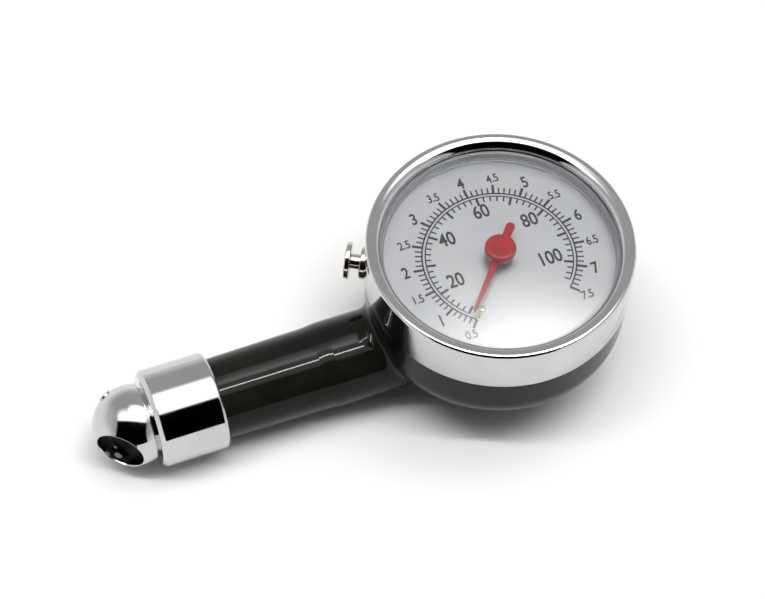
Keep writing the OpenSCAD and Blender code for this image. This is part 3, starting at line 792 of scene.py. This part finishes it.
def sweep_bmesh(rings):
    """A closed skin through rings of points; the first and last ring are capped."""
    bm = bmesh.new()
    loops = [[bm.verts.new(point) for point in ring] for ring in rings]
    count = len(loops[0])
    for ring, after in zip(loops, loops[1:]):
        for k in range(count):
            n = (k + 1) % count
            bm.faces.new([ring[k], ring[n], after[n], after[k]])
    bm.faces.new(loops[0])
    bm.faces.new(list(reversed(loops[-1])))
    return bm


def make_coil(name, node, origin, axis, turns):
    """Compression spring with closed end coils."""
    low, high = along(node, origin, axis)
    place = facing(origin, axis)
    verts = frame["nodes"][node].data.vertices
    inverse = place.inverted()
    reach = max((inverse @ (v.co / MM)).xy.length for v in verts)
    least = min((inverse @ (v.co / MM)).xy.length for v in verts)
    coil_r, wire_r = (reach + least) / 2, (reach - least) / 2
    closed = 0.8
    steps, sides = 40, 12
    free = high - low - 2 * wire_r - 4 * wire_r * closed
    pitch = free / (turns - 2 * closed)
    rings = []
    for i in range(round(turns * steps) + 1):
        turn = i / steps
        rise = min(turn, closed) * 2 * wire_r
        rise += max(0, min(turn, turns - closed) - closed) * pitch
        rise += max(0, turn - turns + closed) * 2 * wire_r
        a = TURN * turn
        ring = []
        for k in range(sides):
            b = TURN * k / sides
            r = coil_r + wire_r * math.cos(b)
            height = low + wire_r + rise + wire_r * math.sin(b)
            ring.append(place @ Vector((r * math.cos(a), r * math.sin(a), height)))
        rings.append(ring)
    piece = make_piece(name, sweep_bmesh(rings), WIRE)
    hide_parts(node)
    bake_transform(piece)


def make_bourdon_tube():
    """Flattened tube bent round the head."""
    verts = [v.co / MM for v in frame["nodes"]["bourdon_tube"].data.vertices]
    radii = [v.xy.length for v in verts]
    angles = [math.atan2(v.y, v.x) for v in verts]
    inner_r, outer_r = min(radii), max(radii)
    low, high = box("bourdon_tube")
    first, last = min(angles), max(angles)
    mid_r, mid_z = (inner_r + outer_r) / 2, (low.z + high.z) / 2
    thick, flat = (outer_r - inner_r) / 2, (high.z - low.z - outer_r + inner_r) / 2
    wall, sides, steps = 0.25, 12, 160

    def section(a, inset):
        points = []
        for end in (1, -1):
            for k in range(sides + 1):
                b = math.pi * (k / sides) + (0 if end > 0 else math.pi)
                r = mid_r + (thick - inset) * math.cos(b)
                z = mid_z + end * flat + (thick - inset) * math.sin(b)
                points.append(Vector((r * math.cos(a), r * math.sin(a), z)))
        return points

    bm = bmesh.new()
    skins = []
    for inset in (0, wall):
        skins.append([[bm.verts.new(p) for p in section(first + (last - first) * i / steps, inset)]
                      for i in range(steps + 1)])
    count = len(skins[0][0])
    for k in range(count):
        n = (k + 1) % count
        for rings in skins:
            for ring, after in zip(rings, rings[1:]):
                bm.faces.new([ring[k], ring[n], after[n], after[k]])
        for end in (0, -1):
            bm.faces.new([skins[0][end][k], skins[0][end][n], skins[1][end][n], skins[1][end][k]])
    piece = make_piece("bent_tube", bm, BRONZE)
    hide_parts("bourdon_tube")
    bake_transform(piece)


# ---------------------------------------------------------------- camera, floor and light

VIEW_AZIMUTH, VIEW_ELEVATION, VIEW_ROLL = map(math.radians, (-24.21, 57.04, 3.57))
VIEW_DISTANCE, AIM_RIGHT, AIM_UP, AIM_Z = 574.51, 20.86, -4.615, 5.55
FOCAL_MM = 141.2


def make_camera():
    """Camera at the photograph's angle; the aim is given beside the dial's axis."""
    a, e, r = VIEW_AZIMUTH, VIEW_ELEVATION, VIEW_ROLL
    back = Vector((math.sin(a) * math.cos(e), -math.cos(a) * math.cos(e), math.sin(e)))
    level = Vector((math.cos(a), math.sin(a), 0))
    rise = back.cross(level)
    right = math.cos(r) * level + math.sin(r) * rise
    up = -math.sin(r) * level + math.cos(r) * rise
    spot = back * VIEW_DISTANCE - right * AIM_RIGHT - up * AIM_UP + Vector((0, 0, AIM_Z))
    data = bpy.data.cameras.new("camera")
    data.lens = FOCAL_MM
    data.clip_start, data.clip_end = 0.01, 20
    camera = bpy.data.objects.new("camera", data)
    matrix = Matrix((right, up, back)).transposed().to_4x4()
    matrix.translation = spot * MM
    camera.matrix_world = matrix
    bpy.context.scene.collection.objects.link(camera)
    bpy.context.scene.camera = camera


def make_floor():
    n = Nodes("paper_floor")
    n.set("Base Color", n.blend(n.noise(30, 3), colour(0.65, 0.65, 0.65), colour(0.67, 0.67, 0.67)))
    n.set("Roughness", n.between(n.noise(5, 3), 0.7, 0.85))
    bm = bmesh.new()
    half = 3000
    corners = [(-half, -half), (half, -half), (half, half), (-half, half)]
    bm.faces.new([bm.verts.new((x, y, 0)) for x, y in corners])
    floor = make_piece("floor", bm, n.material)


# How far the card reaches: sideways as a share of the way to the side, and upwards in degrees
CARD_SIDE, CARD_TOP = 0.66, 68
WALL_LIGHT, SIDE_LIGHT, HORIZON_LIGHT = 0.5, 0.2, 0.36
# Lamps over the table: first and last degree on the arc from near to far and how soft each end is, then
# the middle, reach and softness sideways, and the strength
LAMPS = [(70, 98, 2, 14, 0, 0.62, 0.12, 1.7), (83.2, 85.2, 0.5, 0.5, 0, 0.55, 0.1, 62),
         (98, 109, 5, 12, 0.2, 0.25, 0.25, 9)]


def make_sky():
    """Studio round the gauge, by direction: dark card behind the camera, a bright ceiling with a narrow
    strip lamp, and plain grey walls."""
    world = bpy.data.worlds.new("studio")
    bpy.context.scene.world = world
    world.use_nodes = True
    tree = world.node_tree
    nodes, links = tree.nodes, tree.links
    direction = nodes.new("ShaderNodeTexCoord").outputs["Generated"]

    def math_node(operation, *values):
        node = nodes.new("ShaderNodeMath")
        node.operation = operation
        for socket, value in zip(node.inputs, values):
            if isinstance(value, bpy.types.NodeSocket):
                links.new(value, socket)
            else:
                socket.default_value = value
        return node.outputs[0]

    def part_along(axis):
        node = nodes.new("ShaderNodeVectorMath")
        node.operation = "DOT_PRODUCT"
        links.new(direction, node.inputs[0])
        node.inputs[1].default_value = axis
        return node.outputs["Value"]

    def step(value, start, end):
        node = nodes.new("ShaderNodeMapRange")
        node.interpolation_type = "SMOOTHSTEP"
        links.new(value, node.inputs["Value"])
        node.inputs["From Min"].default_value = start
        node.inputs["From Max"].default_value = end
        return node.outputs[0]

    def band(value, start, end, soft_start, soft_end):
        rising = step(value, start - soft_start, start + soft_start)
        falling = step(value, end + soft_end, end - soft_end)
        return math_node("MULTIPLY", rising, falling)

    def degrees(y, x):
        return math_node("DEGREES", math_node("ARCTAN2", y, x))

    near = part_along((math.sin(VIEW_AZIMUTH), -math.cos(VIEW_AZIMUTH), 0))
    side = part_along((math.cos(VIEW_AZIMUTH), math.sin(VIEW_AZIMUTH), 0))
    height = part_along((0, 0, 1))
    arc = degrees(height, near)
    across = math_node("ABSOLUTE", side)

    card = step(across, CARD_SIDE + 0.03, CARD_SIDE - 0.03)
    card = math_node("MULTIPLY", card, band(arc, -20, CARD_TOP, 2, 2))
    sides = step(across, 0.7, 0.9)
    wall = math_node("ADD", WALL_LIGHT, math_node("MULTIPLY", sides, SIDE_LIGHT))
    wall = math_node("ADD", wall, math_node("MULTIPLY", step(height, 0.42, 0.02), HORIZON_LIGHT))
    light = math_node("MULTIPLY", wall, math_node("SUBTRACT", 1.0, card))
    for start, end, soft_start, soft_end, centre, reach, soft_side, strength in LAMPS:
        aside = math_node("ABSOLUTE", math_node("SUBTRACT", side, centre))
        lit = band(arc, start, end, soft_start, soft_end)
        lit = math_node("MULTIPLY", lit, step(aside, reach + soft_side, reach - soft_side))
        light = math_node("ADD", light, math_node("MULTIPLY", lit, strength))
    background = nodes["Background"]
    links.new(light, background.inputs["Strength"])
    background.inputs["Color"].default_value = colour(1.0, 0.995, 0.985)


# ---------------------------------------------------------------- build

make_camera()
make_floor()
make_sky()
paint_cad_nodes()
make_bezel()
make_lens()
make_spacer()
make_scales()
make_numbers()
make_pointer()
make_stop_pin()
make_handle_fillet()
make_ferrule()
make_chuck()
make_seal()
make_depressor()
make_plug()
make_bleed_valve()
make_coil("bleed_coil", "bleed_spring", BLEED, BLEED_AXIS, 5)
make_coil("check_coil", "check_valve_spring", HANDLE, CHUCK_AXIS, 5)
make_bourdon_tube()
bpy.context.scene.view_settings.view_transform = "Standard"
